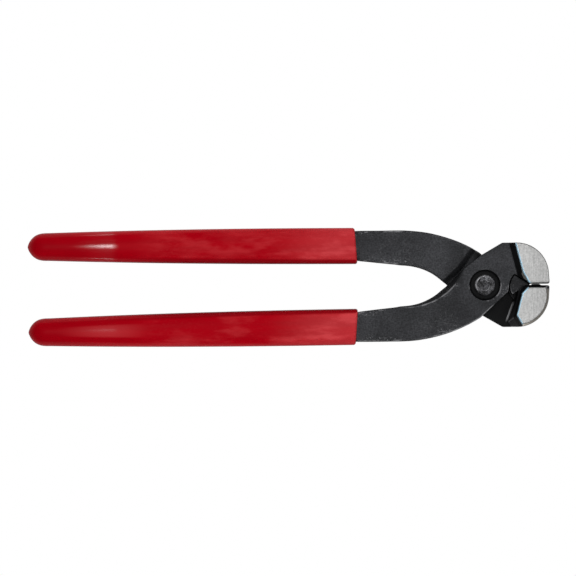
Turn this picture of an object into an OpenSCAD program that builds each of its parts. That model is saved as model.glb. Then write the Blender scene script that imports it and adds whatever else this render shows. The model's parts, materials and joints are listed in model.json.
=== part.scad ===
// Short wide-jaw pliers: two forged levers on a flush rivet, with dipped grips.
//
// A lever is drawn about its pivot: +X runs to the jaws, y = 0 is the line on which the
// jaws close and z = 0 is the middle plane of the lap joint. The lever that is drawn has
// its jaw on +Y, its handle on -Y and its lap plate on +Z. The other lever is the same
// forging turned over about X. The finished tool lies on the side faces of its jaws.

/* [Reach] */
// From the pivot to the front of the jaws
jaw_reach = 27.1; // [26:0.1:34]
// From the pivot to the ends of the grips
handle_reach = 192.9; // [150:0.1:240]

/* [Jaws] */
// Width of the jaws, from one ground side face to the other
jaw_width = 22; // [17:0.5:30]
// Height of a jaw's flat back above the closing line
jaw_height = 17.8; // [17:0.1:21]
// Radius of a jaw's round front
nose_r = 13.5; // [10:0.1:14]
// How far the lips stand ahead of the round front
lip_lead = 0.25; // [0:0.05:1]
// Radius of the corner at the front of a lip
lip_corner_r = 0.8; // [0.2:0.1:2]
// Gap between the lips when the jaws are shut
lip_gap = 0.6; // [0.3:0.1:2]
// Bevel along the lip on the side face above the lap plate
lip_bevel = 0.5; // [0.2:0.1:1]
// Bevel along the lip on the other side face
lip_bevel_far = 1; // [0.2:0.1:1.5]
// Bevel round the nose on that same side face
nose_bevel = 1; // [0.2:0.1:2]
// Side face edge above the lap plate: back, bend and lip end
near_face = [[12.8, 17.5], [15.8, 5.6], [18.3, 1]]; // [0:0.1:30]
// How far the two slopes below that edge run out
near_run = [2.6, 3.3]; // [1:0.1:4]
// Far side face edge: lip end, first bend, second bend and back
far_face = [[18, 1], [15.5, 3.6], [13.1, 12.8], [14.9, 16]]; // [0:0.1:30]
// How far the three slopes below that edge run out
far_run = [3.8, 2.6, 4.5]; // [1:0.1:6]

/* [Closing stop] */
// Front and back of the stop on the lower lip, from the pivot
stop_span = [19.9, 23.1]; // [19:0.1:26]
// Width of the stop across the jaws
stop_width = 8; // [3:0.5:14]
// Gap left above the stop
stop_gap = 0.05; // [0.02:0.01:0.2]

/* [Lap joint] */
// Thickness of one lap plate
plate_t = 6.5; // [5:0.1:9]
// Gap between the two lap faces
lap_gap = 0.1; // [0.05:0.01:0.3]
// Where the inner edges of the two levers cross
crotch = [-16.3, 0]; // [-20:0.1:20]
// First corner of the plate's upper edge
plate_corner = [-8.6, 7]; // [-20:0.1:20]
// Second corner of the plate's upper edge
plate_bend = [-1.3, 12.7]; // [-20:0.1:20]
// Distance in X from the pivot to the back corner of the jaw
jaw_back_x = 7.5; // [6:0.1:9]
// Where the plate's lower edge meets the heel notch
heel_corner = [10.4, -2.2]; // [-20:0.1:20]
// Angle that the handles open through
open_angle = 20; // [10:1:35]
// Room left between a plate and the shoulder at full opening
shoulder_gap = 0.4; // [0.3:0.1:1.5]
// Length of the ramp from the lap face up to the handle's face
shoulder_ramp = 2.4; // [1:0.1:6]

/* [Heel boss] */
// Centre of the round heel boss
boss_c = [17.3, 0.6]; // [-20:0.1:20]
// Radius of the heel boss
boss_r = 6.7; // [5:0.1:8]
// Height of the boss above the lap face
boss_h = 5.2; // [2:0.1:6]
// Corner of the jaw wall beside the boss, nearest the pivot
wall_root = [12.6, 4.6]; // [0:0.1:20]
// End of that wall at the lips
wall_tip = [19, 0.5]; // [0:0.1:20]
// Two points on the boss's free edge, and its tip
boss_edge = [[11.5, 4.1], [15.7, 0.85], [18.8, 0.1]]; // [0:0.1:20]
// Gap round the boss
boss_gap = 0.4; // [0.3:0.05:1]
// Height of the wider foot of the boss above the lap face
foot_h = 2; // [1:0.1:3]
// How far that foot stands out, so that it closes the gap from below
foot_step = 0.8; // [0.5:0.1:1.2]

/* [Rivet] */
// Diameter of the rivet's shank
rivet_d = 7.5; // [5:0.1:10]
// Radial clearance of the shank in the lever that turns
rivet_clearance = 0.05; // [0.01:0.01:0.1]
// How far the rivet's heads stand out past the shank
head_lip = 0.65; // [0.4:0.05:1.5]
// Gap between a head and the wall of its recess, at the floor
moat = 1.7; // [1:0.1:2]
// How far the recess widens from its floor to the plate's face
recess_flare = 0.5; // [0.1:0.1:1]
// Depth of the recess round a head
recess_depth = 1.8; // [1:0.1:3]
// How far a head lies below the plate's face
head_sink = 0.2; // [0:0.1:1]
// Bevel on the rim of a head
head_bevel = 0.5; // [0.1:0.1:0.8]
// Axial gap under the head in the lever that turns
head_clearance = 0.05; // [0.02:0.01:0.2]

/* [Handles] */
// Distance of a handle's outer edge from the closing line
handle_outer = 23.5; // [21:0.1:28]
// Where the bow of the outer edge starts, from the pivot
bow_start = 36; // [32:0.1:42]
// Radius of the bow
bow_r = 64; // [62:0.5:70]
// Where the bow ends at the lap plate, from the pivot
bow_end = 2; // [0:0.1:4]
// Radius of the inner edge next to the crotch
throat_r = 25; // [24:0.1:28]
// Distance of the inner edge from the closing line, where it turns straight
throat_drop = 8.4; // [7:0.1:10]
// Width of the bevel round the throat, on the plate's face
throat_bevel = 1.6; // [0.5:0.1:4]
// How far that bevel is shifted towards the jaws and the closing line
throat_bevel_shift = [1.9, 1]; // [0:0.1:3]
// How far the bevel runs in by the time it reaches the lap face
throat_bevel_run = 2.4; // [1:0.1:6]
// Slope of the straight inner edge, in degrees
inner_slope = 6; // [2:0.1:8]
// Where the handle starts to thin, from the pivot
thin_start = 12; // [8:0.1:20]
// Thickness of a handle where it enters its grip
handle_t = 8.4; // [6:0.1:11]

/* [Grips] */
// From the pivot to the front ends of the grips
grip_front = 54.1; // [48:0.1:70]
// Wall of a grip
grip_wall = 1.4; // [1:0.1:3]
// Solid end of a grip, past the tang
grip_end_wall = 4; // [2:0.1:6]
// Slant of a grip's front end, in degrees
grip_slant = 4; // [0:0.5:8]
// Rounding of a grip's front edge
grip_edge_r = 0.9; // [0.2:0.1:0.9]
// How far a tang is set in from the faces of its handle
tang_inset = 0.15; // [0.05:0.05:0.5]
// Width and thickness of a tang at its rear
tang_rear = [9, 7.6]; // [6:0.1:12]
// Distance of a tang's rear from the closing line
tang_rear_y = 18; // [14:0.1:24]
// Length of the pointed dome at the end of a grip
dome = 8.9; // [6:0.1:14]
// How square the front of a grip is
front_squareness = 3.6; // [2:0.1:4]
// How square the rear of a grip is
rear_squareness = 2.2; // [2:0.1:4]

/* [Hidden] */

far = 60;
lap_z = lap_gap / 2;
side_z = jaw_width / 2;
lip_y = lip_gap / 2;
pivot = [(handle_reach - jaw_reach) / 2, 0, side_z];

nose_c = [jaw_reach - lip_lead - nose_r, jaw_height - nose_r];
jaw_back = [jaw_back_x, jaw_height];
boss_out = wall_root[0] - far / 8;
heel_ease = 0.1;

shank_r = rivet_d / 2;
head_r = shank_r + head_lip;
recess_floor_r = head_r + moat;
recess_z = plate_t - recess_depth;

bow_c = [-bow_start, bow_r - handle_outer];
bow_foot = [-bow_end, bow_c[1] - sqrt(pow(bow_r, 2) - pow(bow_start - bow_end, 2))];
throat_rise = throat_r * cos(inner_slope) - throat_drop;
throat_c = [crotch[0] - sqrt(pow(throat_r, 2) - pow(throat_rise, 2)), throat_rise];
throat_foot = throat_c + throat_r * [sin(inner_slope), -cos(inner_slope)];

grip_section_n = 28;
grip_steps = 14;
dome_steps = 6;
taper_power = 2.3;
front_inner = inner_edge(-grip_front);
front_y = (front_inner - handle_outer) / 2;
front_half = [(front_inner + handle_outer) / 2 - tang_inset, handle_t / 2 - tang_inset];
dome_x = handle_reach - dome;

// y of the straight inner edge at x
function inner_edge(x) = throat_foot[1] + (x - throat_foot[0]) * tan(inner_slope);

// A point turned by an angle about the pivot
function turned(p, angle) = [
    p[0] * cos(angle) - p[1] * sin(angle),
    p[0] * sin(angle) + p[1] * cos(angle)
];

// One value between two others
function between(a, b, t) = a + (b - a) * t;

// A point of a rounded square of half sizes h, at an angle
function squircle(h, squareness, angle) = [
    h[0] * sign(cos(angle)) * pow(abs(cos(angle)), 2 / squareness),
    h[1] * sign(sin(angle)) * pow(abs(sin(angle)), 2 / squareness)
];

// One ring of a handle's cover, at distance x behind the pivot
function ring(x, wall, scale) =
    let (t = max(0, min(1, (x - grip_front) / (dome_x - grip_front))),
         taper = pow(t, taper_power),
         half = [for (i = [0, 1]) between(front_half[i], tang_rear[i] / 2, taper) + wall],
         squareness = between(front_squareness, rear_squareness, t),
         y = between(front_y, -tang_rear_y, t),
         slant = tan(grip_slant) * max(0, 1 - 4 * t))
    [for (i = [0 : grip_section_n - 1])
        let (p = squircle(half * scale, squareness, 360 * i / grip_section_n))
        [slant * p[0] - x, y + p[0], p[1]]];

// Rings along a straight stretch and round the dome at its end
function cover_rings(start, wall, end_wall) = concat(
    [for (i = [0 : grip_steps]) ring(between(start, dome_x, i / grip_steps), wall, 1)],
    [for (i = [1 : dome_steps])
        let (a = 88 * i / dome_steps)
        ring(dome_x + (dome - end_wall) * sin(a), wall, cos(a))]);

// A closed skin through rings of equal count
module skin(rings) {
    n = len(rings[0]);
    last = (len(rings) - 1) * n;
    sides = [for (r = [0 : len(rings) - 2], i = [0 : n - 1])
        let (j = (i + 1) % n)
        each [[r * n + i, r * n + j, (r + 1) * n + i],
              [r * n + j, (r + 1) * n + j, (r + 1) * n + i]]];
    front = [[for (i = [n - 1 : -1 : 0]) i]];
    back = [[for (i = [0 : n - 1]) last + i]];
    polyhedron(points = [for (r = rings) each r], faces = concat(sides, front, back));
}

// A prism along the line p to q, cut in (distance to the right of the line, z)
module prism_along(p, q, outline) {
    d = q - p;
    translate([p[0], p[1], 0])
        rotate([0, 0, atan2(d[1], d[0])])
            translate([-far / 2, 0, 0])
                rotate([90, 0, 90])
                    linear_extrude(norm(d) + far)
                        mirror([1, 0])
                            polygon(outline);
}

// All that lies right of the line p to q and above a slope that runs out from it
module slope_cut(p, q, run, low, high) {
    lean = run / (high - low);
    prism_along(p, q, [[-lean, high + 1], [run, low], [far, low], [far, high + 1]]);
}

// The jaw in plan
module jaw_plan() {
    polygon([
        jaw_back, [nose_c[0], jaw_height], nose_c, nose_c + [nose_r, 0],
        [jaw_reach, lip_y + lip_corner_r], [jaw_reach - lip_corner_r, lip_y],
        [jaw_back_x, lip_y]
    ]);
    intersection() {
        translate(nose_c)
            circle(nose_r, $fn = 96);
        translate(nose_c)
            square(nose_r + 1);
    }
    translate([jaw_reach - lip_corner_r, lip_y + lip_corner_r])
        circle(lip_corner_r, $fn = 32);
}

// The part of the jaw above the lap face, on the side of the lap plate
module near_jaw() {
    difference() {
        translate([0, 0, lap_z])
            linear_extrude(side_z - lap_z)
                jaw_plan();
        for (i = [0, 1])
            slope_cut(near_face[i], near_face[i + 1], near_run[i], plate_t, side_z);
        translate([0, lip_y, side_z])
            lip_bevel_bar(lip_bevel);
    }
}

// The part of the jaw on the other side of the lap face, rooted in the plate
module far_jaw() {
    mirror([0, 0, 1])
        difference() {
            union() {
                translate([0, 0, lap_z])
                    linear_extrude(side_z - lap_z)
                        jaw_plan();
                translate([0, 0, -plate_t / 2])
                    linear_extrude(plate_t)
                        difference() {
                            jaw_plan();
                            notch(boss_r + foot_step);
                        }
            }
            for (i = [0 : 2])
                slope_cut(far_face[i + 1], far_face[i], far_run[i], -lap_z, side_z);
            translate([0, lip_y, side_z])
                lip_bevel_bar(lip_bevel_far);
            translate([nose_c[0], nose_c[1], side_z])
                rotate_extrude($fn = 96)
                    polygon([[nose_r - nose_bevel, 1], [nose_r - nose_bevel, 0],
                             [nose_r + 2, -nose_bevel - 2], [nose_r + 2, 1]]);
        }
}

// The boss on the heel of the jaw, on a wider foot
module heel_boss() {
    translate([0, 0, -boss_h])
        linear_extrude(boss_h - lap_z)
            difference() {
                boss_plan(boss_r);
                boss_free_side();
            }
    translate([0, 0, -foot_h])
        linear_extrude(foot_h - lap_z)
            boss_plan(boss_r + foot_step);
}

// A square bar set on its edge, which bevels a lip from end to end
module lip_bevel_bar(bevel) {
    rotate([45, 0, 0])
        cube([far * 2, bevel * sqrt(2), bevel * sqrt(2)], center = true);
}

// Height of the jaw's wall beside the boss, at x
function wall_at(x) =
    let (rise = wall_root - wall_tip)
    wall_tip[1] + (x - wall_tip[0]) * rise[1] / rise[0];

// The heel boss in plan: a disc that stays clear of the other jaw's wall
module boss_plan(r) {
    wall = wall_tip - wall_root;
    drop = boss_gap * norm(wall) / wall[0];
    tip_x = boss_edge[2][0];
    intersection() {
        translate(boss_c)
            circle(r, $fn = 64);
        polygon([[tip_x, drop - wall_at(tip_x)], [tip_x, far], [boss_out, far],
                 [boss_out, drop - wall_at(boss_out)]]);
    }
}

// What lies beyond the free edge of the boss
module boss_free_side() {
    free = boss_edge[1] - boss_edge[0];
    polygon([
        boss_edge[2],
        [boss_edge[2][0], far],
        [boss_out, far],
        [boss_out, boss_edge[0][1] + (boss_out - boss_edge[0][0]) * free[1] / free[0]],
        boss_edge[1]
    ]);
}

// Room in plan for a part of the other lever's boss, at every angle
module notch(r) {
    c = [boss_c[0], -boss_c[1]];
    intersection() {
        union() {
            translate(c)
                circle(r + boss_gap, $fn = 64);
            difference() {
                polygon([[0, 0], c, turned(c, -25) * 1.2, turned(c, -50)]);
                circle(norm(c) - r - boss_gap - heel_ease, $fn = 96);
            }
        }
        polygon([[boss_out, wall_at(boss_out)], wall_tip, [wall_tip[0], -far],
                 [boss_out, -far]]);
    }
}

// The whole lever in plan
module lever_plan() {
    difference() {
        union() {
            intersection() {
                translate(bow_c)
                    circle(bow_r, $fn = 256);
                polygon([
                    crotch, plate_corner, plate_bend, jaw_back, nose_c, heel_corner,
                    heel_corner + (bow_foot - heel_corner) * 2, [-bow_start, -far],
                    [-bow_start, crotch[1]]
                ]);
            }
            polygon([[-bow_start, 0], [-bow_start, -handle_outer],
                     front_corner(-handle_outer), front_corner(front_inner),
                     throat_foot, [throat_foot[0], 0]]);
            jaw_plan();
        }
        translate(throat_c)
            circle(throat_r, $fn = 128);
    }
}

// A corner of the handle where it meets the slanted end of its grip
function front_corner(y) = [(y - front_y) * tan(grip_slant) - grip_front, y];

// The side view of the handle and plate, from its thin end to the jaw
module lever_side() {
    thin = handle_t / 2;
    polygon([[-far * 2, -thin], [-grip_front, -thin], [-thin_start, -plate_t], [far, -plate_t],
             [far, plate_t], [-thin_start, plate_t], [-grip_front, thin], [-far * 2, thin]]);
}

// Room for the other lever's plate at one angle, beside the line through two of its corners
module shoulder_cut(angle, first, last) {
    corners = [for (p = [crotch, plate_corner, plate_bend, jaw_back])
        turned([p[0], -p[1]], -angle)];
    d = (corners[last] - corners[first]) / norm(corners[last] - corners[first]);
    right = [d[1], -d[0]];
    foot = max([for (p = corners) (p - corners[first]) * right]) + shoulder_gap;
    slope = shoulder_ramp / (plate_t + lap_z);
    prism_along(corners[first], corners[last],
                [[-far, lap_z], [foot, lap_z], [foot + shoulder_ramp + slope, -plate_t - 1],
                 [-far, -plate_t - 1]]);
}

// Room for the other lever's plate from shut to fully open
module lap_room() {
    shoulder_cut(0, 0, 1);
    shoulder_cut(open_angle, 1, 3);
}

// The cone that bevels the throat, from the lap face to past the plate's face
module throat_cone() {
    centre = throat_c + throat_bevel_shift;
    rake = throat_bevel_run / plate_t;
    face_r = throat_r + throat_bevel;
    translate([centre[0], centre[1], 0])
        cylinder(r1 = face_r - throat_bevel_run, r2 = face_r + rake, h = plate_t + 1,
                 $fn = 128);
}

// Handle and lap plate, with the near part of the jaw
module plate_and_handle() {
    difference() {
        union() {
            difference() {
                intersection() {
                    translate([0, 0, -far / 2])
                        linear_extrude(far)
                            lever_plan();
                    rotate([90, 0, 0])
                        translate([0, 0, -far])
                            linear_extrude(2 * far)
                                lever_side();
                }
                lap_room();
                throat_cone();
            }
            near_jaw();
        }
        linear_extrude(far)
            notch(boss_r);
        linear_extrude(foot_h + boss_gap)
            notch(boss_r + foot_step);
    }
}

// One forged lever, with a bore of its own radius
module forged_lever(bore_r) {
    difference() {
        union() {
            plate_and_handle();
            far_jaw();
            heel_boss();
            tang();
        }
        translate([0, 0, -far / 2])
            cylinder(r = bore_r, h = far, $fn = 96);
        rotate_extrude($fn = 96)
            polygon([[0, recess_z], [recess_floor_r, recess_z],
                     [recess_floor_r + recess_flare, plate_t],
                     [recess_floor_r + recess_flare, plate_t + 1], [0, plate_t + 1]]);
    }
}

// The tapered end of a handle, which fills the hollow of its grip
module tang() {
    skin(cover_rings(grip_front - 3, 0, grip_end_wall));
}

// A dipped grip
module grip() {
    edge = [for (a = [0 : 30 : 60])
        let (shrink = 1 - grip_edge_r * (1 - sin(a)) / (front_half[0] + grip_wall))
        ring(grip_front + grip_edge_r * (1 - cos(a)), grip_wall, shrink)];
    difference() {
        skin(concat(edge, cover_rings(grip_front + grip_edge_r, grip_wall, 0)));
        tang();
    }
}

// A bar on the lower lip that stops the jaws just before the lips meet
module closing_stop() {
    height = lip_gap - stop_gap;
    root = lip_y + 0.5;
    translate([0, 0, -stop_width / 2])
        linear_extrude(stop_width)
            polygon([[stop_span[0] - 0.3, root], [stop_span[0], lip_y - height],
                     [stop_span[1], lip_y - height], [stop_span[1] + 0.5, lip_y],
                     [stop_span[1] + 0.5, root]]);
}

// From a lever's own frame to the tool's
module in_place() {
    translate(pivot)
        children();
}

// The second lever is the first one turned over
module turned_over() {
    rotate([180, 0, 0])
        children();
}

module upper_jaw_lever() {
    color([0.17, 0.17, 0.19])
        in_place()
            forged_lever(shank_r + rivet_clearance);
}

module lower_jaw_lever() {
    color([0.14, 0.14, 0.16])
        in_place()
            turned_over() {
                forged_lever(shank_r);
                closing_stop();
            }
}

module pivot_rivet() {
    top = plate_t - head_sink;
    foot = recess_z + head_clearance;
    color([0.3, 0.3, 0.33])
        in_place()
            rotate_extrude($fn = 96)
                polygon([
                    [0, -top], [head_r - head_bevel, -top], [head_r, head_bevel - top],
                    [head_r, -recess_z], [shank_r, -recess_z], [shank_r, foot],
                    [head_r, foot], [head_r, top - head_bevel], [head_r - head_bevel, top],
                    [0, top]
                ]);
}

module upper_lever_grip() {
    color([0.66, 0.02, 0.06])
        in_place()
            grip();
}

module lower_lever_grip() {
    color([0.66, 0.02, 0.06])
        in_place()
            turned_over()
                grip();
}

upper_jaw_lever();
lower_jaw_lever();
pivot_rivet();
upper_lever_grip();
lower_lever_grip();
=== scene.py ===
"""Short wide-jaw pliers: finished levers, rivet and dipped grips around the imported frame.

All sizes are in metres, in the frame's own axes: +X runs to the jaws, +Y to the upper jaw
and the tool lies on z = 0.
"""

import json
import math

import bmesh
import bpy
import numpy as np
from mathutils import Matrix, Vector, noise


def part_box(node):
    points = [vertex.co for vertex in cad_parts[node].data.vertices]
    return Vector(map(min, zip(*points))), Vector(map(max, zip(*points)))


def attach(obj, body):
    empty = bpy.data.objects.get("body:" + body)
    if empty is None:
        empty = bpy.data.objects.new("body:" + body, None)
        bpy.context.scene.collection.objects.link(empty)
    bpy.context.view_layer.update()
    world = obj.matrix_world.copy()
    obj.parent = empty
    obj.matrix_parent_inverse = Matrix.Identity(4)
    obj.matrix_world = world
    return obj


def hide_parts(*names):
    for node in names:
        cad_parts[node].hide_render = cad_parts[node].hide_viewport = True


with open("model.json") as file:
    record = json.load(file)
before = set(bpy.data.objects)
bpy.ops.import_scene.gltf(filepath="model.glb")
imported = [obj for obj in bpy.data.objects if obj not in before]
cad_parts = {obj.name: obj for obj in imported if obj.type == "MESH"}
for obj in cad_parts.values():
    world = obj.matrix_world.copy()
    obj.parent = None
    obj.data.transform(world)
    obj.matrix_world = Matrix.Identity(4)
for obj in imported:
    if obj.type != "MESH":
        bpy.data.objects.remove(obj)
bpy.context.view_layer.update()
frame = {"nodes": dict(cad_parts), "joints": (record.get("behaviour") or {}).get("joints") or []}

bl_info = {
    "name": "Wide-Jaw Pliers",
    "version": (1, 0, 0),
    "blender": (4, 5, 0),
    "location": "View3D > Sidebar > Pliers",
    "description": "Forged levers, a peened rivet and dipped grips around a packed frame",
    "category": "Object",
}

MM = 0.001
PIVOT = Vector(frame["joints"][0]["pos_m"])
LEVERS = {"upper_jaw_lever": "upper_lever", "lower_jaw_lever": "lower_lever"}
GRIPS = {"upper_lever_grip": "upper_lever", "lower_lever_grip": "lower_lever"}
GRIP_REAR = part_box("upper_lever_grip")[0].x
GRIP_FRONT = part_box("upper_lever_grip")[1].x
SIDE_FACE = (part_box("upper_jaw_lever")[1].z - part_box("upper_jaw_lever")[0].z) / 2

# How far the remeshed part of a forging reaches back under its grip.
STUB = 8 * MM

# The rivet's heads, and the height of the plates' faces above the middle.
HEAD_LIP = 0.65 * MM
HEAD_THICKNESS = 1.6 * MM
HEAD_BEVEL = 0.7 * MM
HEAD_STEPS = 36
HEAD_SINK = 0.2 * MM
HEAD_RADIUS = (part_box("pivot_rivet")[1].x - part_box("pivot_rivet")[0].x) / 2
HEAD_RIM = HEAD_RADIUS - HEAD_BEVEL
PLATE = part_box("pivot_rivet")[1].z - PIVOT.z + HEAD_SINK

# Height off the middle times distance off the closing line. Beyond this a point is clearly
# on a part that passes under the other lever, or over it where the product is negative.
CLEAR_OF_LINE = 8 * MM * MM

# A point on the ridge in the pocket, measured from the pivot, and the direction across it.
RIDGE_FOOT = (12 * MM, 7.4 * MM)
RIDGE_NORMAL = (0.936, 0.352)

GRIP_SLANT = math.radians(4)
GRIP_TAPER = 2.3
DOME_POWERS = (3.0, 0.72)
BARE_STEEL = (0.26, 0.26, 0.27)
CAMERA_AIM = (-0.16 * MM, -0.37 * MM)


# ---------------------------------------------------------------- settings


class ForgingSettings(bpy.types.PropertyGroup):
    grain: bpy.props.FloatProperty(
        name="Grain", description="Cell size of the forged skin",
        default=0.3 * MM, min=0.25 * MM, max=1 * MM, unit="LENGTH")
    jaw_passes: bpy.props.IntProperty(
        name="Jaw Rounding", description="Rounding passes on the ground jaws",
        default=2, min=0, max=20)
    handle_passes: bpy.props.IntProperty(
        name="Handle Rounding", description="Rounding passes on the forged handles",
        default=60, min=0, max=120)
    hammer: bpy.props.FloatProperty(
        name="Hammering", description="Depth of the uneven forged skin on the handles",
        default=0.07 * MM, min=0, max=0.3 * MM, unit="LENGTH")
    black: bpy.props.FloatVectorProperty(
        name="Black", description="Colour of the blackened skin", subtype="COLOR",
        default=(0.0235, 0.024, 0.0262), min=0, max=1)
    bare: bpy.props.FloatVectorProperty(
        name="Bare Steel", description="Colour where the black is worn away",
        subtype="COLOR", default=BARE_STEEL, min=0, max=1)
    ground: bpy.props.FloatVectorProperty(
        name="Ground Steel", description="Colour of the ground side faces of the jaws",
        subtype="COLOR", default=(0.335, 0.335, 0.332), min=0, max=1)
    bevel: bpy.props.FloatVectorProperty(
        name="Nose Bevel", description="Colour of the bevel round the lower jaw's nose",
        subtype="COLOR", default=(0.3, 0.28, 0.25), min=0, max=1)
    # Painted reflection: the colour of the bluish line along the back edge of each ground face.
    painted_glint_colour: bpy.props.FloatVectorProperty(
        name="Painted Glint Line", description="Colour of the heated line behind a ground face",
        subtype="COLOR", default=(0.32, 0.54, 0.68), min=0, max=1)


class RivetSettings(bpy.types.PropertyGroup):
    crown: bpy.props.FloatProperty(
        name="Crown", description="How far the middle of a head stands above its rim",
        default=0.15 * MM, min=0, max=0.5 * MM, unit="LENGTH")
    dimple: bpy.props.FloatProperty(
        name="Dimple", description="Depth of the punch mark in a head",
        default=0.5 * MM, min=0, max=0.6 * MM, unit="LENGTH")
    dimple_r: bpy.props.FloatProperty(
        name="Dimple Radius", description="Radius of the punch mark",
        default=2.1 * MM, min=0.2 * MM, max=3 * MM, unit="LENGTH")
    steel: bpy.props.FloatVectorProperty(
        name="Steel", description="Colour of the oiled rivet steel", subtype="COLOR",
        default=(0.042, 0.042, 0.046), min=0, max=1)


class GripSettings(bpy.types.PropertyGroup):
    dome: bpy.props.FloatProperty(
        name="Dome", description="Length of the pointed end of a grip",
        default=8.9 * MM, min=2 * MM, max=20 * MM, unit="LENGTH")
    front_square: bpy.props.FloatProperty(
        name="Front Squareness", description="Exponent of the section at the front end",
        default=3.6, min=2, max=6)
    rear_square: bpy.props.FloatProperty(
        name="Rear Squareness", description="Exponent of the section at the dome",
        default=2.2, min=2, max=6)
    edge: bpy.props.FloatProperty(
        name="Front Edge", description="Rounding of the front edge",
        default=1.0 * MM, min=0.2 * MM, max=2 * MM, unit="LENGTH")
    around: bpy.props.IntProperty(
        name="Facets Around", description="Facets round a grip", default=96, min=16)
    along: bpy.props.IntProperty(
        name="Facets Along", description="Facets along a grip", default=260, min=40)
    sag: bpy.props.FloatProperty(
        name="Unevenness", description="How uneven the dipped skin is",
        default=0.03 * MM, min=0, max=0.5 * MM, unit="LENGTH")
    shine_at: bpy.props.FloatProperty(
        name="Shine", description="Distance from a tip to the glossiest part of a grip",
        default=34 * MM, min=0, unit="LENGTH")
    red: bpy.props.FloatVectorProperty(
        name="Red", description="Colour of the dipped vinyl", subtype="COLOR",
        default=(0.275, 0.0, 0.004), min=0, max=1)
    # Also the colour of the painted sheen and of the painted highlight on the lower grip's
    # crest.
    bloom_and_sheen: bpy.props.FloatVectorProperty(
        name="Bloom And Sheen", description="Colour where handling has dulled the vinyl",
        subtype="COLOR", default=(0.43, 0.036, 0.042), min=0, max=1)


class StageSettings(bpy.types.PropertyGroup):
    distance: bpy.props.FloatProperty(
        name="Camera Height", description="Height of the camera above the tool",
        default=3.0, min=0.5, unit="LENGTH")
    view_width: bpy.props.FloatProperty(
        name="View Width", description="Width that the camera sees at the tool",
        default=0.2428, min=0.1, unit="LENGTH")
    roll: bpy.props.FloatProperty(
        name="Roll", description="Turn of the camera about its own axis",
        default=math.radians(0.6), subtype="ANGLE", unit="ROTATION")
    tent: bpy.props.FloatProperty(
        name="Overhead Tent", description="Power of the wide soft light", default=28.5,
        min=0)
    spark: bpy.props.FloatProperty(
        name="Spark", description="Power of the small light that gives the highlights",
        default=4.0, min=0)
    strips: bpy.props.FloatProperty(
        name="Side Strips", description="Power of each low strip light", default=1.6, min=0)
    softbox: bpy.props.FloatProperty(
        name="Jaw Softbox", description="Power of the softbox over the jaws", default=12,
        min=0)
    fill: bpy.props.FloatProperty(
        name="Fill", description="Brightness of the surroundings", default=0.25, min=0)


# ---------------------------------------------------------------- node helpers


def wire(tree, kind, values=None, **settings):
    """Adds a node; values feeds its inputs, by name or number, with numbers or sockets."""
    made = tree.nodes.new(kind)
    for key, value in settings.items():
        setattr(made, key, value)
    for key, value in (values or {}).items():
        if isinstance(value, bpy.types.NodeSocket):
            tree.links.new(value, made.inputs[key])
        else:
            made.inputs[key].default_value = value
    return made


class Sums:
    """Arithmetic on the sockets of one node tree."""

    def __init__(self, tree):
        self.tree = tree

    def __call__(self, operation, *values, clamp=False):
        made = wire(self.tree, "ShaderNodeMath", dict(enumerate(values)),
                    operation=operation, use_clamp=clamp)
        return made.outputs[0]

    def span(self, value, low, high, to_low=0.0, to_high=1.0):
        made = wire(self.tree, "ShaderNodeMapRange",
                    {"Value": value, "From Min": low, "From Max": high,
                     "To Min": to_low, "To Max": to_high}, interpolation_type="SMOOTHSTEP")
        return made.outputs["Result"]

    def mix(self, share, a, b):
        made = wire(self.tree, "ShaderNodeMix", {0: share, 2: a, 3: b}, data_type="FLOAT")
        return made.outputs[0]

    def product(self, *values):
        result = values[0]
        for value in values[1:]:
            result = self("MULTIPLY", result, value)
        return result

    def most(self, *values):
        result = values[0]
        for value in values[1:]:
            result = self("MAXIMUM", result, value)
        return result

    def without(self, value, mask, clamp=False):
        """A value, taken away where a mask is one."""
        return self("MULTIPLY", value, self("SUBTRACT", 1.0, mask), clamp=clamp)

    def length(self, a, b):
        return self("SQRT", self("ADD", self("MULTIPLY", a, a), self("MULTIPLY", b, b)))

    def colour(self, share, a, b, blend="MIX"):
        a, b = [v if isinstance(v, bpy.types.NodeSocket) else (*v, 1.0) for v in (a, b)]
        made = wire(self.tree, "ShaderNodeMix", {0: share, 6: a, 7: b}, data_type="RGBA",
                    blend_type=blend)
        return made.outputs[2]

    def shaded(self, colour, tone):
        """A colour made lighter or darker by one factor."""
        grey = wire(self.tree, "ShaderNodeCombineColor", {0: tone, 1: tone, 2: tone})
        return self.colour(1.0, colour, grey.outputs[0], "MULTIPLY")


def new_group(name, inputs, outputs):
    """A shader node group with float or vector inputs and float outputs."""
    group = bpy.data.node_groups.new(name, "ShaderNodeTree")
    for label, default in inputs.items():
        kind = "NodeSocketVector" if default is None else "NodeSocketFloat"
        socket = group.interface.new_socket(label, in_out="INPUT", socket_type=kind)
        if default is not None:
            socket.default_value = default
    for label in outputs:
        group.interface.new_socket(label, in_out="OUTPUT", socket_type="NodeSocketFloat")
    return group, wire(group, "NodeGroupInput").outputs, wire(group, "NodeGroupOutput").inputs


def noise_at(tree, vector, scale, detail, roughness):
    made = wire(tree, "ShaderNodeTexNoise", {"Vector": vector, "Scale": scale,
                                             "Detail": detail, "Roughness": roughness})
    return made.outputs["Fac"]


def stretched(tree, vector, stretch):
    return wire(tree, "ShaderNodeVectorMath", {0: vector, 1: stretch},
                operation="MULTIPLY").outputs[0]


def split(tree, vector):
    return wire(tree, "ShaderNodeSeparateXYZ", {0: vector}).outputs


def attribute(tree, name):
    return wire(tree, "ShaderNodeAttribute", attribute_name=name).outputs["Fac"]


def facing_of(tree):
    return split(tree, wire(tree, "ShaderNodeNewGeometry").outputs["Normal"])


# ---------------------------------------------------------------- shared effects


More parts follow.
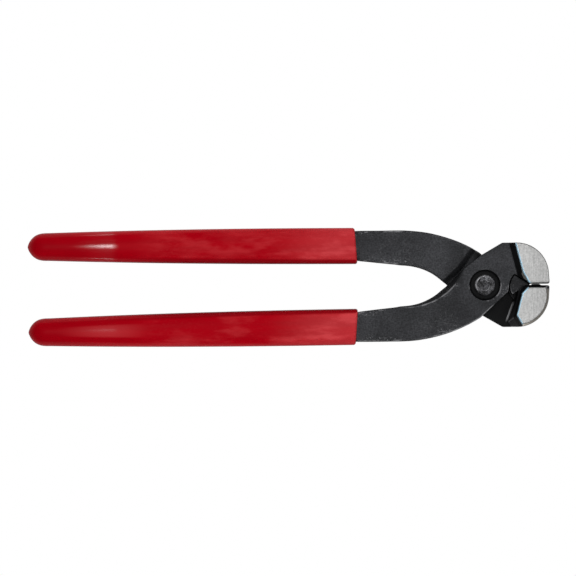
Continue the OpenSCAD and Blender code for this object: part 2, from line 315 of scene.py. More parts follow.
def edge_wear():
    """Black rubbed off along sharp edges, in broken patches."""
    group, given, out = new_group(
        "Edge Wear", {"Position": None, "Edge": 0.0, "Onset": 0.12, "Patch Scale": 160.0},
        ["Wear"])
    sums = Sums(group)
    patches = noise_at(group, given["Position"], given["Patch Scale"], 4.0, 0.65)
    broken = sums.span(patches, 0.46, 0.62)
    rubbed = sums.span(given["Edge"], given["Onset"], 0.6)
    group.links.new(sums("MULTIPLY", rubbed, broken), out["Wear"])
    return group


def nicks():
    """Small bright nicks and scuffs, gathered in patches."""
    group, given, out = new_group(
        "Nicks", {"Position": None, "Size": 1300.0, "Patch Scale": 70.0, "Amount": 0.5},
        ["Nicks", "Scuffs"])
    sums = Sums(group)
    patches = sums.span(noise_at(group, given["Position"], given["Patch Scale"], 3.0, 0.6),
                        0.44, 0.62)
    dots = sums.span(noise_at(group, given["Position"], given["Size"], 3.0, 0.7), 0.57, 0.67)
    lines = stretched(group, given["Position"], (0.25, 1.4, 1.0))
    scuffs = sums.span(noise_at(group, lines, given["Size"], 2.0, 0.6), 0.56, 0.7)
    amount = sums("MULTIPLY", patches, given["Amount"])
    group.links.new(sums("MULTIPLY", dots, amount), out["Nicks"])
    group.links.new(sums("MULTIPLY", scuffs, amount), out["Scuffs"])
    return group


def skin_grain():
    """Uneven tone of a skin: broad clouds and fine grain round one half."""
    group, given, out = new_group(
        "Skin Grain", {"Position": None, "Cloud Scale": 60.0, "Grain Scale": 2200.0},
        ["Clouds", "Grain"])
    group.links.new(noise_at(group, given["Position"], given["Cloud Scale"], 5.0, 0.6),
                    out["Clouds"])
    group.links.new(noise_at(group, given["Position"], given["Grain Scale"], 3.0, 0.7),
                    out["Grain"])
    return group


def effect(tree, name, build, values):
    """Places a shared effect, which is built the first time it is used."""
    group = bpy.data.node_groups.get(name) or build()
    return wire(tree, "ShaderNodeGroup", values, node_tree=group).outputs


# ---------------------------------------------------------------- materials


def new_material(name, specular, coat_roughness=0.1):
    material = bpy.data.materials.new(name)
    material.use_nodes = True
    tree = material.node_tree
    shader = tree.nodes["Principled BSDF"]
    shader.inputs["Coat Roughness"].default_value = coat_roughness
    shader.inputs["Specular IOR Level"].default_value = specular
    position = wire(tree, "ShaderNodeTexCoord").outputs["Object"]
    return material, tree, shader, position


def bump(tree, shader, height, distance, strength):
    relief = wire(tree, "ShaderNodeBump",
                  {"Height": height, "Distance": distance, "Strength": strength})
    tree.links.new(relief.outputs["Normal"], shader.inputs["Normal"])


def black_forging(settings):
    """Blackened forging with worn edges, and bright ground side faces on the jaws."""
    material, tree, shader, position = new_material("black_forging", specular=0.1)
    sums = Sums(tree)
    edge = attribute(tree, "edge")
    axes, facing = split(tree, position), facing_of(tree)
    level = sums("ABSOLUTE", facing["Z"])
    off_middle = sums("SUBTRACT", axes["Z"], PIVOT.z)
    height = sums("ABSOLUTE", off_middle)
    ahead = sums("SUBTRACT", axes["X"], PIVOT.x)
    off_line = sums("ABSOLUTE", axes["Y"])
    radius = sums.length(ahead, axes["Y"])

    # Ground steel: the side faces, a duller bevel round the nose, and a band along the back edge
    # of each face with a painted bluish reflection in its colour.
    face = sums.span(height, SIDE_FACE - 0.14 * MM, SIDE_FACE - 0.05 * MM)
    bevel = sums.product(
        sums.span(level, 0.5, 0.62), sums.span(ahead, 15 * MM, 16 * MM),
        sums.span(off_line, 1.6 * MM, 2.2 * MM),
        sums.span(height, SIDE_FACE - 1.4 * MM, SIDE_FACE - 1.0 * MM))
    back_rim = sums.product(
        sums.span(attribute(tree, "painted_glint"), 0.25, 0.5),
        sums.span(height, SIDE_FACE - 0.3 * MM, SIDE_FACE - 0.1 * MM))
    ground = sums.most(face, bevel, back_rim)

    # Painted shade, darkening the colour where shade falls: the steep jaw backs, the
    # rivet recess, the lap, the side walls and the throat, where a lever passes under
    # the other one's plate.
    steep = sums.product(
        sums.span(height, PLATE + 0.15 * MM, PLATE + 0.7 * MM),
        sums.span(ahead, 5 * MM, 8 * MM), sums.span(facing["X"], 0.3, 0.05))
    recess = sums.product(sums.span(radius, 7 * MM, 6.4 * MM),
                          sums.span(height, PLATE - 0.1 * MM, PLATE - 0.5 * MM))
    lap = sums.product(
        sums.span(height, PLATE - 0.5 * MM, PLATE - 2.5 * MM),
        sums.span(ahead, -24 * MM, -20 * MM), sums.span(ahead, -2 * MM, -6 * MM, 1.0, 0.1),
        sums.most(sums.span(radius, 17 * MM, 15 * MM), sums.span(level, 0.3, 0.6)))
    passes_under = sums("MULTIPLY", off_middle, axes["Y"])
    under = sums.span(passes_under, 0.0, CLEAR_OF_LINE)
    ramp = sums.product(under, sums.span(radius, 21 * MM, 17 * MM),
                        sums.span(off_line, 3 * MM, 8 * MM))
    side = sums.without(sums.span(level, 0.88, 0.6, 0.0, 0.55), ramp)
    throat = sums.product(under, sums.span(radius, 21 * MM, 14 * MM, 0.0, 0.45),
                          sums.span(ahead, -8 * MM, -10 * MM))
    painted_shade = sums.most(steep, recess, lap, side, throat)

    # A light ridge across the pocket, where the jaw's back meets the lap face.
    across = sums("ADD", *(
        sums("MULTIPLY", sums("SUBTRACT", distance, foot), share)
        for distance, foot, share in zip((ahead, off_line), RIDGE_FOOT, RIDGE_NORMAL)))
    ridge = sums.product(
        sums.span(sums("ABSOLUTE", across), 0.55 * MM, 0.15 * MM),
        sums.span(height, 3.5 * MM, 3 * MM), sums.span(off_line, 6.8 * MM, 8.5 * MM),
        sums.span(off_line, 16 * MM, 13.5 * MM))

    # Bare steel: nicks near the outline, rubbed edges, and edges that pass over the joint.
    skin = effect(tree, "Skin Grain", skin_grain,
                  {"Position": position, "Cloud Scale": 55.0, "Grain Scale": 1500.0})
    nick = effect(tree, "Nicks", nicks, {"Position": position, "Amount": 1.0})
    wear = effect(tree, "Edge Wear", edge_wear, {"Position": position, "Edge": edge})
    marks = sums.most(nick["Nicks"], sums("MULTIPLY", nick["Scuffs"], 0.4))
    marks = sums.product(marks, sums.span(attribute(tree, "rim"), 0.01, 0.14, 0.2, 1.0),
                         sums.span(ahead, 2 * MM, 6 * MM, 1.0, 0.35))
    broken = noise_at(tree, position, 420.0, 3.0, 0.7)
    rubbed = sums.product(
        sums.span(edge, 0.2, 0.6), sums.span(passes_under, 0.0, -CLEAR_OF_LINE),
        sums.span(radius, 40 * MM, 24 * MM), sums.span(radius, 8.5 * MM, 10 * MM),
        sums.span(broken, 0.4, 0.6, 0.1, 0.8))
    bare = sums.most(sums("MULTIPLY", wear["Wear"], 0.6), rubbed, marks)
    sheltered = sums.product(under, sums.span(radius, 38 * MM, 26 * MM, 0.0, 0.85))
    for mask in (sheltered, sums.most(steep, recess), sums("MULTIPLY", lap, 0.9), throat):
        bare = sums.without(bare, mask)
    bare = sums.most(bare, sums("MULTIPLY", ridge, 0.6))

    tone = sums.product(sums.span(skin["Clouds"], 0.3, 0.7, 0.65, 1.4),
                        sums.span(skin["Grain"], 0.3, 0.7, 0.55, 1.45))
    # Painted shade takes the skin's tone down by up to nine tenths.
    tone = sums.without(tone, sums("MULTIPLY", painted_shade, 0.9))
    black = sums.colour(bare, sums.shaded(settings.black, tone), settings.bare)

    grind = noise_at(tree, stretched(tree, position, (1.0, 0.05, 0.05)), 2600.0, 3.0, 0.75)
    blotch = noise_at(tree, position, 1200.0, 3.0, 0.75)
    steel_tone = sums("ADD", sums.span(grind, 0.25, 0.75, 0.82, 1.12),
                      sums.span(blotch, 0.3, 0.7, -0.14, 0.14))
    steel_tone = sums.product(steel_tone, sums.span(ahead, 16 * MM, 27 * MM, 1.03, 0.88))
    steel = sums.shaded(settings.ground, steel_tone)
    steel = sums.colour(sums.without(bevel, face), steel, settings.bevel)
    # Painted reflection: a bluish line along the back edge of each ground face.
    painted_glint_line = sums.product(back_rim, sums.span(grind, 0.35, 0.65, 0.55, 1.0))
    steel = sums.colour(painted_glint_line, steel, settings.painted_glint_colour)

    tree.links.new(sums.colour(ground, black, steel), shader.inputs["Base Color"])
    tree.links.new(sums.mix(ground, sums("MULTIPLY", bare, 0.7), 1.0),
                   shader.inputs["Metallic"])
    rough = sums.mix(bare, sums.span(skin["Grain"], 0.3, 0.7, 0.55, 0.68), 0.45)
    tree.links.new(sums.mix(ground, rough, 0.46), shader.inputs["Roughness"])
    relief = sums("ADD", sums("MULTIPLY", skin["Grain"], 0.6),
                  sums("MULTIPLY", nick["Scuffs"], -0.5))
    relief = sums.mix(ground, relief, sums("MULTIPLY", grind, 0.3))
    bump(tree, shader, relief, 0.08 * MM, 0.8)
    return material


def rivet_steel(settings):
    """Dark oiled steel, rubbed bright on the raised marks of the peening, with a painted
    highlight on one side of the rim.
    """
    material, tree, shader, position = new_material("rivet_steel", specular=0.4)
    sums = Sums(tree)
    skin = effect(tree, "Skin Grain", skin_grain,
                  {"Position": position, "Cloud Scale": 500.0, "Grain Scale": 3000.0})
    wear = effect(tree, "Edge Wear", edge_wear,
                  {"Position": position, "Edge": attribute(tree, "edge"), "Onset": 0.05,
                   "Patch Scale": 400.0})
    nick = effect(tree, "Nicks", nicks,
                  {"Position": position, "Patch Scale": 500.0, "Amount": 0.5})

    # Painted highlight: the rim is painted bright steel on its upper-left side only, where it
    # would catch the light.
    axes = split(tree, position)
    ahead = sums("SUBTRACT", axes["X"], PIVOT.x)
    off_rim = sums("ABSOLUTE", sums("SUBTRACT", sums.length(ahead, axes["Y"]), HEAD_RIM))
    toward_lit_side = sums("SUBTRACT", axes["Y"], sums("MULTIPLY", ahead, 1.4))
    lip = sums.product(sums.span(off_rim, 0.3 * MM, 0.08 * MM),
                       sums.span(toward_lit_side, 0.0, 4 * MM, 0.0, 0.8))
    bare = sums.most(wear["Wear"], nick["Nicks"], lip)
    steel = sums.shaded(settings.steel, sums.span(skin["Clouds"], 0.38, 0.62, 0.15, 1.5))
    tree.links.new(sums.colour(bare, steel, BARE_STEEL), shader.inputs["Base Color"])
    tree.links.new(sums.span(bare, 0.0, 1.0, 0.5, 0.9), shader.inputs["Metallic"])
    tree.links.new(sums.span(skin["Grain"], 0.3, 0.7, 0.36, 0.5), shader.inputs["Roughness"])
    bump(tree, shader, skin["Grain"], 0.05 * MM, 0.6)
    return material


def red_vinyl(settings):
    """Dipped vinyl: glossy towards the tip, dulled with lengthwise draw lines in front; its
    colour also holds painted shade, painted sheen and a painted highlight.
    """
    material, tree, shader, position = new_material(
        "red_vinyl", specular=0.015, coat_roughness=0.16)
    sums = Sums(tree)
    axes, facing = split(tree, position), facing_of(tree)
    level = sums("ABSOLUTE", facing["Z"])
    skin = effect(tree, "Skin Grain", skin_grain,
                  {"Position": position, "Cloud Scale": 26.0, "Grain Scale": 900.0})
    drawn = stretched(tree, position, (0.12, 1.0, 1.0))
    folds = noise_at(tree, drawn, 600.0, 3.0, 0.6)
    streaks = noise_at(tree, drawn, 240.0, 3.0, 0.6)
    from_tip = sums("SUBTRACT", axes["X"], GRIP_REAR)
    worked = sums.span(from_tip, 42 * MM, 60 * MM)
    held = sums.span(from_tip, 98 * MM, 130 * MM)

    # Painted shade: the sides that face each other are darker in the colour than the backs, and
    # kept out of the paler patches and side sheen.
    painted_inner_shade = sums("MULTIPLY", facing["Y"], sums("SIGN", axes["Y"]))
    painted_inner_shade = sums.product(sums.span(painted_inner_shade, -0.3, -0.6),
                         sums.span(from_tip, 20 * MM, 70 * MM))
    tone = sums("ADD", sums.span(from_tip, 0.0, 60 * MM, 0.82, 1.0),
                sums.span(streaks, 0.35, 0.65, -0.05, 0.05))
    tone = sums.without(tone, sums("MULTIPLY", painted_inner_shade, 0.3))

    # Paler streaky patches in the middle, and most of all at the front end: partly vinyl dulled
    # by handling, partly painted sheen.
    patches = noise_at(tree, stretched(tree, position, (0.35, 1.0, 1.0)), 150.0, 4.0, 0.6)
    blotch = sums.product(sums.span(patches, 0.42, 0.66),
                          sums.span(streaks, 0.36, 0.6, 0.5, 1.0))
    specks = noise_at(tree, stretched(tree, position, (0.5, 1.0, 1.0)), 1500.0, 2.0, 0.6)
    flecks = sums.product(
        sums.span(specks, 0.5, 0.66), sums.span(from_tip, 38 * MM, 46 * MM),
        sums.span(from_tip, 84 * MM, 60 * MM, 0.25, 1.0),
        sums.span(skin["Clouds"], 0.4, 0.6, 0.2, 0.9))
    blotch = sums.most(blotch, flecks)
    dull_and_sheen = sums("ADD", sums("MULTIPLY", blotch, 0.34),
                sums.product(held, sums.span(blotch, 0.0, 1.0, 0.5, 0.8)))
    dull_and_sheen = sums.without(sums.product(dull_and_sheen, worked), painted_inner_shade, clamp=True)

    # Painted highlight: the lower grip's crest near the tip is paler. Painted sheen: both grips
    # are paler round their sides, except the sides that face each other.
    painted_crest_highlight = sums.product(
        sums.span(level, 0.965, 0.995), sums.span(from_tip, 10 * MM, 32 * MM),
        sums.span(from_tip, 54 * MM, 34 * MM), sums.span(axes["Y"], MM, -MM, 0.0, 0.42))
    painted_flank_sheen = sums.without(sums.span(level, 0.88, 0.3, 0.0, 0.55), painted_inner_shade)
    red = sums.colour(sums.most(dull_and_sheen, painted_crest_highlight, painted_flank_sheen), settings.red, settings.bloom_and_sheen)
    tree.links.new(sums.shaded(red, tone), shader.inputs["Base Color"])

    # A gloss that ends short of the worked part, on the upper grip far more than the lower.
    shiny = sums.product(
        sums.span(from_tip, settings.shine_at - 20 * MM, settings.shine_at),
        sums.span(from_tip, settings.shine_at + 6 * MM, settings.shine_at + MM))
    shiny = sums.product(sums("POWER", shiny, 2.6),
                         sums.span(axes["Y"], -MM, MM, 0.03, 0.45))
    tree.links.new(sums.most(shiny, sums.span(level, 0.8, 0.4, 0.0, 0.15)),
                   shader.inputs["Coat Weight"])
    satin = sums("ADD", sums.span(streaks, 0.35, 0.65, 0.34, 0.5),
                 sums.span(skin["Grain"], 0.3, 0.7, -0.03, 0.03))
    tree.links.new(sums.mix(worked, 0.34, satin), shader.inputs["Roughness"])
    drawn_relief = sums("ADD", sums("MULTIPLY", folds, 0.5), sums("MULTIPLY", streaks, 1.6))
    drawn_relief = sums.product(drawn_relief, sums.span(worked, 0.0, 1.0, 0.04, 1.0))
    relief = sums("ADD", drawn_relief, sums("MULTIPLY", skin["Grain"], 0.1))
    bump(tree, shader, relief, 0.16 * MM, 0.5)
    return material


# ---------------------------------------------------------------- mesh helpers


def merged_copy(node):
    """A joined-up copy of a CAD node's mesh."""
    cells = bmesh.new()
    cells.from_mesh(frame["nodes"][node].data)
    bmesh.ops.remove_doubles(cells, verts=cells.verts, dist=0.002 * MM)
    return cells


def cut_off(cells, x, keep_front):
    """Cuts at a plane across X and closes the cut."""
    done = bmesh.ops.bisect_plane(
        cells, geom=[*cells.verts, *cells.edges, *cells.faces], plane_co=(x, 0, 0),
        plane_no=(1, 0, 0), clear_inner=keep_front, clear_outer=not keep_front)
    rim = [e for e in done["geom_cut"] if isinstance(e, bmesh.types.BMEdge)]
    bmesh.ops.holes_fill(cells, edges=rim)
    bmesh.ops.recalc_face_normals(cells, faces=cells.faces)
    return cells


def mesh_of(cells, name):
    mesh = bpy.data.meshes.new(name)
    cells.to_mesh(mesh)
    cells.free()
    return mesh


def new_piece(name, mesh):
    piece = bpy.data.objects.new(name, mesh)
    bpy.context.scene.collection.objects.link(piece)
    return piece


def evaluated_mesh(piece):
    """Turns a piece and its modifiers into one plain mesh."""
    graph = bpy.context.evaluated_depsgraph_get()
    mesh = bpy.data.meshes.new_from_object(piece.evaluated_get(graph))
    piece.modifiers.clear()
    piece.data = mesh
    return piece


def read(items, field, width, kind=float):
    """One field of a mesh's vertices or edges, as an array of that many columns."""
    flat = np.empty(len(items) * width, kind)
    items.foreach_get(field, flat)
    return flat.reshape(-1, width)


def points_of(mesh):
    return read(mesh.vertices, "co", 3)


def normals_of(mesh):
    return read(mesh.vertices, "normal", 3)


def net_of(mesh):
    """A mesh's points and edges, and how many edges meet at each point."""
    points, edges = points_of(mesh), read(mesh.edges, "vertices", 2, int)
    return points, edges, np.maximum(np.bincount(edges.ravel(), minlength=len(points)), 1)


def set_points(mesh, points):
    mesh.vertices.foreach_set("co", points.ravel())
    mesh.update()


def averaged(values, edges, count):
    """Mean of each vertex's neighbours, for one or more columns."""
    total = np.zeros_like(values)
    for a, b in ((0, 1), (1, 0)):
        for column in range(values.shape[1]):
            total[:, column] += np.bincount(edges[:, a], values[edges[:, b], column],
                                            minlength=len(values))
    return total / count[:, None]


def edge_marks(mesh, reach):
    """How sharp the surface is at each point, and in a band round every outer edge."""
    points, edges, count = net_of(mesh)
    size = np.linalg.norm(points[edges[:, 0]] - points[edges[:, 1]], axis=1).mean()
    dip = ((points - averaged(points, edges, count)) * normals_of(mesh)).sum(1) / size
    sharp = np.clip(dip / 0.12, 0, 1)[:, None]
    for _ in range(2):
        sharp = (sharp + averaged(sharp, edges, count)) / 2
    band = sharp
    for _ in range(reach):
        band = averaged(band, edges, count)
    return {"edge": sharp[:, 0], "rim": band[:, 0]}


def painted_glint_band(mesh):
    """A band round the back edge of the ground side faces, where a reflection is painted."""
    points, edges, count = net_of(mesh)
    height = np.abs(points[:, 2] - PIVOT.z)
    back = (normals_of(mesh)[:, 0] < -0.15) & (height > SIDE_FACE - 1.2 * MM)
    back &= (height < SIDE_FACE + MM) & (points[:, 0] > PIVOT.x + 11 * MM)
    band = back[:, None].astype(float)
    for _ in range(2):
        band = np.minimum(1.0, 1.6 * averaged(band, edges, count) + band)
    return band[:, 0]


def store_marks(mesh, marks):
    """Stores the marks on a mesh's last vertices; any before them get none."""
    for name, values in marks.items():
        whole = np.zeros(len(mesh.vertices))
        whole[-len(values):] = values
        mesh.attributes.new(name, "FLOAT", "POINT").data.foreach_set(
            "value", whole.astype(np.float32))


def finish_piece(piece, body, node, material):
    piece.data.materials.clear()
    piece.data.materials.append(material)
    piece.data.shade_smooth()
    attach(piece, body)
    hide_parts(node)


# ---------------------------------------------------------------- levers


def off_face(points):
    """How far each point is above or below the nearer ground face."""
    return np.abs(np.abs(points[:, 2] - PIVOT.z) - SIDE_FACE)


def rounded_forging(mesh, settings):
    """Rounds the jaws a little and the handles more, and leaves the handles uneven."""
    points, edges, count = net_of(mesh)
    handle = np.clip((PIVOT.x - 8 * MM - points[:, 0]) / (12 * MM), 0, 1)[:, None]
    side = off_face(points) < 0.12 * MM
    for step in range(settings.handle_passes):
        share = 1.0 if step < settings.jaw_passes else handle
        points += share * 0.5 * (averaged(points, edges, count) - points)
    flat = side & (off_face(points) < 0.04 * MM)
    points[flat, 2] = PIVOT.z + np.sign(points[flat, 2] - PIVOT.z) * SIDE_FACE
    set_points(mesh, points)
    uneven = np.array([noise.fractal(Vector(p) * 140, 1.0, 2.0, 3) for p in points])
    depth = settings.hammer * handle * np.clip(0.5 + 0.6 * uneven, 0, 1)[:, None]
    set_points(mesh, points - normals_of(mesh) * depth)


def forge_lever(node, body, settings, material):
    cut = GRIP_FRONT - STUB
    front = new_piece(node + "_forging", mesh_of(cut_off(merged_copy(node), cut, True), node))
    skin = front.modifiers.new("Skin", "REMESH")
    skin.mode = "VOXEL"
    skin.voxel_size = settings.grain
    evaluated_mesh(front)
    marks = edge_marks(front.data, 40)
    marks["painted_glint"] = painted_glint_band(front.data)
    rounded_forging(front.data, settings)
    cells = cut_off(merged_copy(node), cut + settings.grain, False)
    cells.from_mesh(front.data)
    front.data = mesh_of(cells, node + "_forging")
    store_marks(front.data, marks)
    finish_piece(front, body, node, material)
    return front


# ---------------------------------------------------------------- rivet


def head_profile(top, foot, crown):
    """Half of a head in section, from its middle to its foot: (radius, height)."""
    face = [(HEAD_RIM * share, top - crown * share ** 2)
            for share in (i / HEAD_STEPS for i in range(HEAD_STEPS + 1))]
    turn = [(HEAD_RIM + HEAD_BEVEL * math.sin(a),
             top - crown - HEAD_BEVEL * (1 - math.cos(a)))
            for a in (math.radians(15 * i) for i in range(1, 7))]
    return face + turn + [(HEAD_RADIUS, foot + (top - foot) * 0.3), (HEAD_RADIUS, foot)]


def peen(x, y, settings):
    """Height of the hammered face of a head at a point: a punch mark and small facets."""
    centre = Vector((x - 0.35 * MM, y - 0.1 * MM))
    bearing = math.atan2(centre.y, centre.x)
    lobed = settings.dimple_r * (1 + 0.22 * math.sin(3 * bearing + 0.6)
                                 + 0.12 * math.sin(5 * bearing))
    inside = min(1.0, centre.length / lobed)
    mark = -settings.dimple * (1 - inside ** 3)
    lip = 0.1 * MM * math.exp(-((centre.length - lobed * 1.08) / (0.3 * MM)) ** 2)
    facets = 0.16 * MM * noise.fractal(Vector((x, y, 0.4)) * 700, 1.0, 2.0, 3)
    return mark + lip + facets


def make_rivet(settings, material):
    low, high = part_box("pivot_rivet")
    half = (high.z - low.z) / 2
    foot = half - HEAD_THICKNESS
    outline = head_profile(half, foot, settings.crown) + [(HEAD_RADIUS - HEAD_LIP, foot)]
    outline += [(r, -z) for r, z in reversed(outline)]
    around = 120
    cells = bmesh.new()
    rings = []
    for r, z in outline:
        ring = []
        for i in range(around if r > 0 else 1):
            a = 2 * math.pi * i / around
            x, y = r * math.cos(a), r * math.sin(a)
            fade = min(1.0, max(0.0, (HEAD_RADIUS - r) / (0.6 * MM)))
            face = abs(z) > foot + 0.6 * MM
            rise = peen(x, y, settings) * fade if face else 0.0
            rise = min(rise, half - abs(z))
            height = z + math.copysign(1.0, z) * rise
            ring.append(cells.verts.new((PIVOT.x + x, PIVOT.y + y, PIVOT.z + height)))
        rings.append(ring)
    for one, two in zip(rings, rings[1:]):
        for i in range(around):
            j = (i + 1) % around
            corners = [one[i % len(one)], one[j % len(one)], two[j % len(two)],
                       two[i % len(two)]]
            cells.faces.new(list(dict.fromkeys(corners)))
    bmesh.ops.recalc_face_normals(cells, faces=cells.faces)
    rivet = new_piece("peened_rivet", mesh_of(cells, "peened_rivet"))
    store_marks(rivet.data, edge_marks(rivet.data, 4))
    finish_piece(rivet, "lower_lever", "pivot_rivet", material)
    return rivet


# ---------------------------------------------------------------- grips


def section_at(node, x, reach):
    """Middle in y, and half width and half thickness, of a CAD grip near one x."""
    points = points_of(frame["nodes"][node].data)
    near = points[np.abs(points[:, 0] - x) < reach]
    y0, y1 = near[:, 1].min(), near[:, 1].max()
    z0, z1 = near[:, 2].min(), near[:, 2].max()
    return (y0 + y1) / 2, (y1 - y0) / 2, (z1 - z0) / 2


def grip_tree(material):
    """A dipped grip: a rounded-square section swept from its front end to its dome."""
    tree = bpy.data.node_groups.new("Dipped Grip", "GeometryNodeTree")
    tree.is_modifier = True
    sizes = ["Front", "Rear", "Dome", "Front Middle", "Rear Middle", "Front Half Width",
             "Rear Half Width", "Front Half Height", "Rear Half Height", "Front Squareness",
             "Rear Squareness", "Edge", "Slant", "Axis Height", "Unevenness"]
    for label in sizes:
        tree.interface.new_socket(label, in_out="INPUT", socket_type="NodeSocketFloat")
    for label in ("Around", "Along", "Seed"):
        tree.interface.new_socket(label, in_out="INPUT", socket_type="NodeSocketInt")
    tree.interface.new_socket("Mesh", in_out="OUTPUT", socket_type="NodeSocketGeometry")
    given = wire(tree, "NodeGroupInput").outputs
    sums = Sums(tree)
    around, along = given["Around"], given["Along"]
    grid = wire(tree, "GeometryNodeMeshGrid", {
        "Size X": 1.0, "Size Y": 1.0, "Vertices X": sums("ADD", around, 1.0),
        "Vertices Y": sums("ADD", along, 1.0)}).outputs["Mesh"]
    place = split(tree, wire(tree, "GeometryNodeInputPosition").outputs[0])
    bearing = sums("MULTIPLY", sums("ADD", place["X"], 0.5), -2 * math.pi)
    row = sums("ADD", place["Y"], 0.5)

    # Rows crowd towards both ends, and the first row closes the front end.
    length = sums("SUBTRACT", given["Front"], given["Rear"])
    crowd = sums("MULTIPLY", sums("SUBTRACT", 1.0, sums("COSINE", sums(
        "MULTIPLY", row, math.pi))), 0.5)
    behind = sums("MULTIPLY", length, crowd)
    straight = sums("SUBTRACT", length, given["Dome"])
    t = sums("DIVIDE", behind, straight, clamp=True)
    taper = sums("POWER", t, GRIP_TAPER)
    into_dome = sums("DIVIDE", sums("SUBTRACT", behind, straight), given["Dome"], clamp=True)
    arch = sums("POWER", sums("SUBTRACT", 1.0, sums("POWER", into_dome, DOME_POWERS[0])),
                DOME_POWERS[1])
    first_row = sums("GREATER_THAN", row, 0.001)
    into_edge = sums("SUBTRACT", 1.0, sums("DIVIDE", behind, given["Edge"], clamp=True))
    fall = sums("SUBTRACT", 1.0, sums("SQRT", sums("SUBTRACT", 1.0, sums(
        "MULTIPLY", into_edge, into_edge))))
    inset = sums("MULTIPLY", given["Edge"], fall)

    power = sums("DIVIDE", 2.0, sums.mix(t, given["Front Squareness"],
                                         given["Rear Squareness"]))
    sides = []
    for turn, size in (("COSINE", "Width"), ("SINE", "Height")):
        wave = sums(turn, bearing)
        shape = sums("MULTIPLY", sums("SIGN", wave), sums("POWER", sums(
            "ABSOLUTE", wave), power))
        half = sums.mix(taper, given["Front Half " + size], given["Rear Half " + size])
        half = sums("MULTIPLY", sums("SUBTRACT", half, inset), sums(
            "MULTIPLY", arch, first_row))
        sides.append(sums("MULTIPLY", shape, half))
    middle = sums.mix(t, given["Front Middle"], given["Rear Middle"])
    fading = sums("SUBTRACT", 1.0, sums("MULTIPLY", t, 4.0), clamp=True)
    lean = sums("MULTIPLY", given["Slant"], fading)
    x = sums("SUBTRACT", sums("ADD", given["Front"], sums("MULTIPLY", sides[0], lean)),
             behind)
    place = wire(tree, "ShaderNodeCombineXYZ", {
        "X": x, "Y": sums("ADD", middle, sides[0]),
        "Z": sums("ADD", given["Axis Height"], sides[1])}).outputs[0]
    shaped = wire(tree, "GeometryNodeSetPosition",
                  {"Geometry": grid, "Position": place}).outputs[0]
    closed = wire(tree, "GeometryNodeMergeByDistance",
                  {"Geometry": shaped, "Distance": 0.004 * MM}).outputs[0]

    # The dipped skin sinks a little here and there, never proud of its section.
    uneven = wire(tree, "ShaderNodeTexNoise", {
        "Vector": stretched(tree, wire(tree, "GeometryNodeInputPosition").outputs[0],
                            (0.35, 1.0, 1.0)),
        "W": given["Seed"], "Scale": 130.0, "Detail": 2.0}, noise_dimensions="4D")
    sink = sums.product(sums("ADD", uneven.outputs[0], 0.3), given["Unevenness"], -1.0)
    inward = wire(tree, "ShaderNodeVectorMath", {
        0: wire(tree, "GeometryNodeInputNormal").outputs[0], "Scale": sink},
        operation="SCALE").outputs[0]
    settled = wire(tree, "GeometryNodeSetPosition",
                   {"Geometry": closed, "Offset": inward}).outputs[0]
    real = wire(tree, "GeometryNodeRealizeInstances", {0: settled}).outputs[0]
    dressed = wire(tree, "GeometryNodeSetMaterial",
                   {"Geometry": real, "Material": material}).outputs[0]
    wire(tree, "NodeGroupOutput", {"Mesh": dressed})
    return tree


def dip_grip(node, body, settings, tree, material):
    low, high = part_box(node)
    front = section_at(node, high.x - 2 * MM, 1.9 * MM)
    rear = section_at(node, low.x + settings.dome, 0.6 * MM)
    outward = math.copysign(1.0, front[0])
    slant = math.tan(GRIP_SLANT) * -outward
    values = {
        "Front": high.x - front[1] * abs(slant), "Rear": low.x, "Dome": settings.dome,
        "Front Middle": front[0], "Rear Middle": rear[0],
        "Front Half Width": front[1], "Rear Half Width": rear[1],
        "Front Half Height": front[2], "Rear Half Height": rear[2],
        "Front Squareness": settings.front_square, "Rear Squareness": settings.rear_square,
        "Edge": settings.edge, "Slant": slant, "Axis Height": PIVOT.z,
        "Unevenness": settings.sag, "Around": settings.around, "Along": settings.along,
        "Seed": 3 if outward > 0 else 8,
    }
    grip = new_piece(node + "_dip", bpy.data.meshes.new(node + "_dip"))
    rule = grip.modifiers.new("Dip", "NODES")
    rule.node_group = tree
    for item in tree.interface.items_tree:
        if item.in_out == "INPUT":
            rule[item.identifier] = values[item.name]
    evaluated_mesh(grip)
    cells = bmesh.new()
    cells.from_mesh(grip.data)
    bmesh.ops.recalc_face_normals(cells, faces=cells.faces)
    grip.data = mesh_of(cells, node + "_dip")
    finish_piece(grip, body, node, material)
    return grip


# ---------------------------------------------------------------- stage


def stage_shader(owner, shown, unseen):
    """One colour for what the camera sees directly, and another for what lights the tool."""
    tree = owner.node_tree
    tree.nodes.clear()
    direct = wire(tree, "ShaderNodeLightPath").outputs["Is Camera Ray"]
    if isinstance(owner, bpy.types.World):
        seen = wire(tree, "ShaderNodeBackground", {0: shown[0], 1: shown[1]})
        hidden = wire(tree, "ShaderNodeBackground", {0: unseen[0], 1: unseen[1]})
        out = wire(tree, "ShaderNodeOutputWorld")
    else:
        seen = wire(tree, "ShaderNodeEmission", {0: shown[0], 1: shown[1]})
        hidden = wire(tree, "ShaderNodeBsdfDiffuse", {0: unseen[0]})
        out = wire(tree, "ShaderNodeOutputMaterial")
    mixed = wire(tree, "ShaderNodeMixShader",
                 {0: direct, 1: hidden.outputs[0], 2: seen.outputs[0]})
    tree.links.new(mixed.outputs[0], out.inputs["Surface"])


def set_floor():
    cells = bmesh.new()
    bmesh.ops.create_grid(cells, x_segments=1, y_segments=1, size=12)
    floor = new_piece("floor", mesh_of(cells, "floor"))
    floor.location.z = -0.2 * MM
    paper = bpy.data.materials.new("pale_paper")
    paper.use_nodes = True
    stage_shader(paper, ((1, 1, 1, 1), 1.0), ((0.5, 0.5, 0.5, 1),))
    floor.data.materials.append(paper)


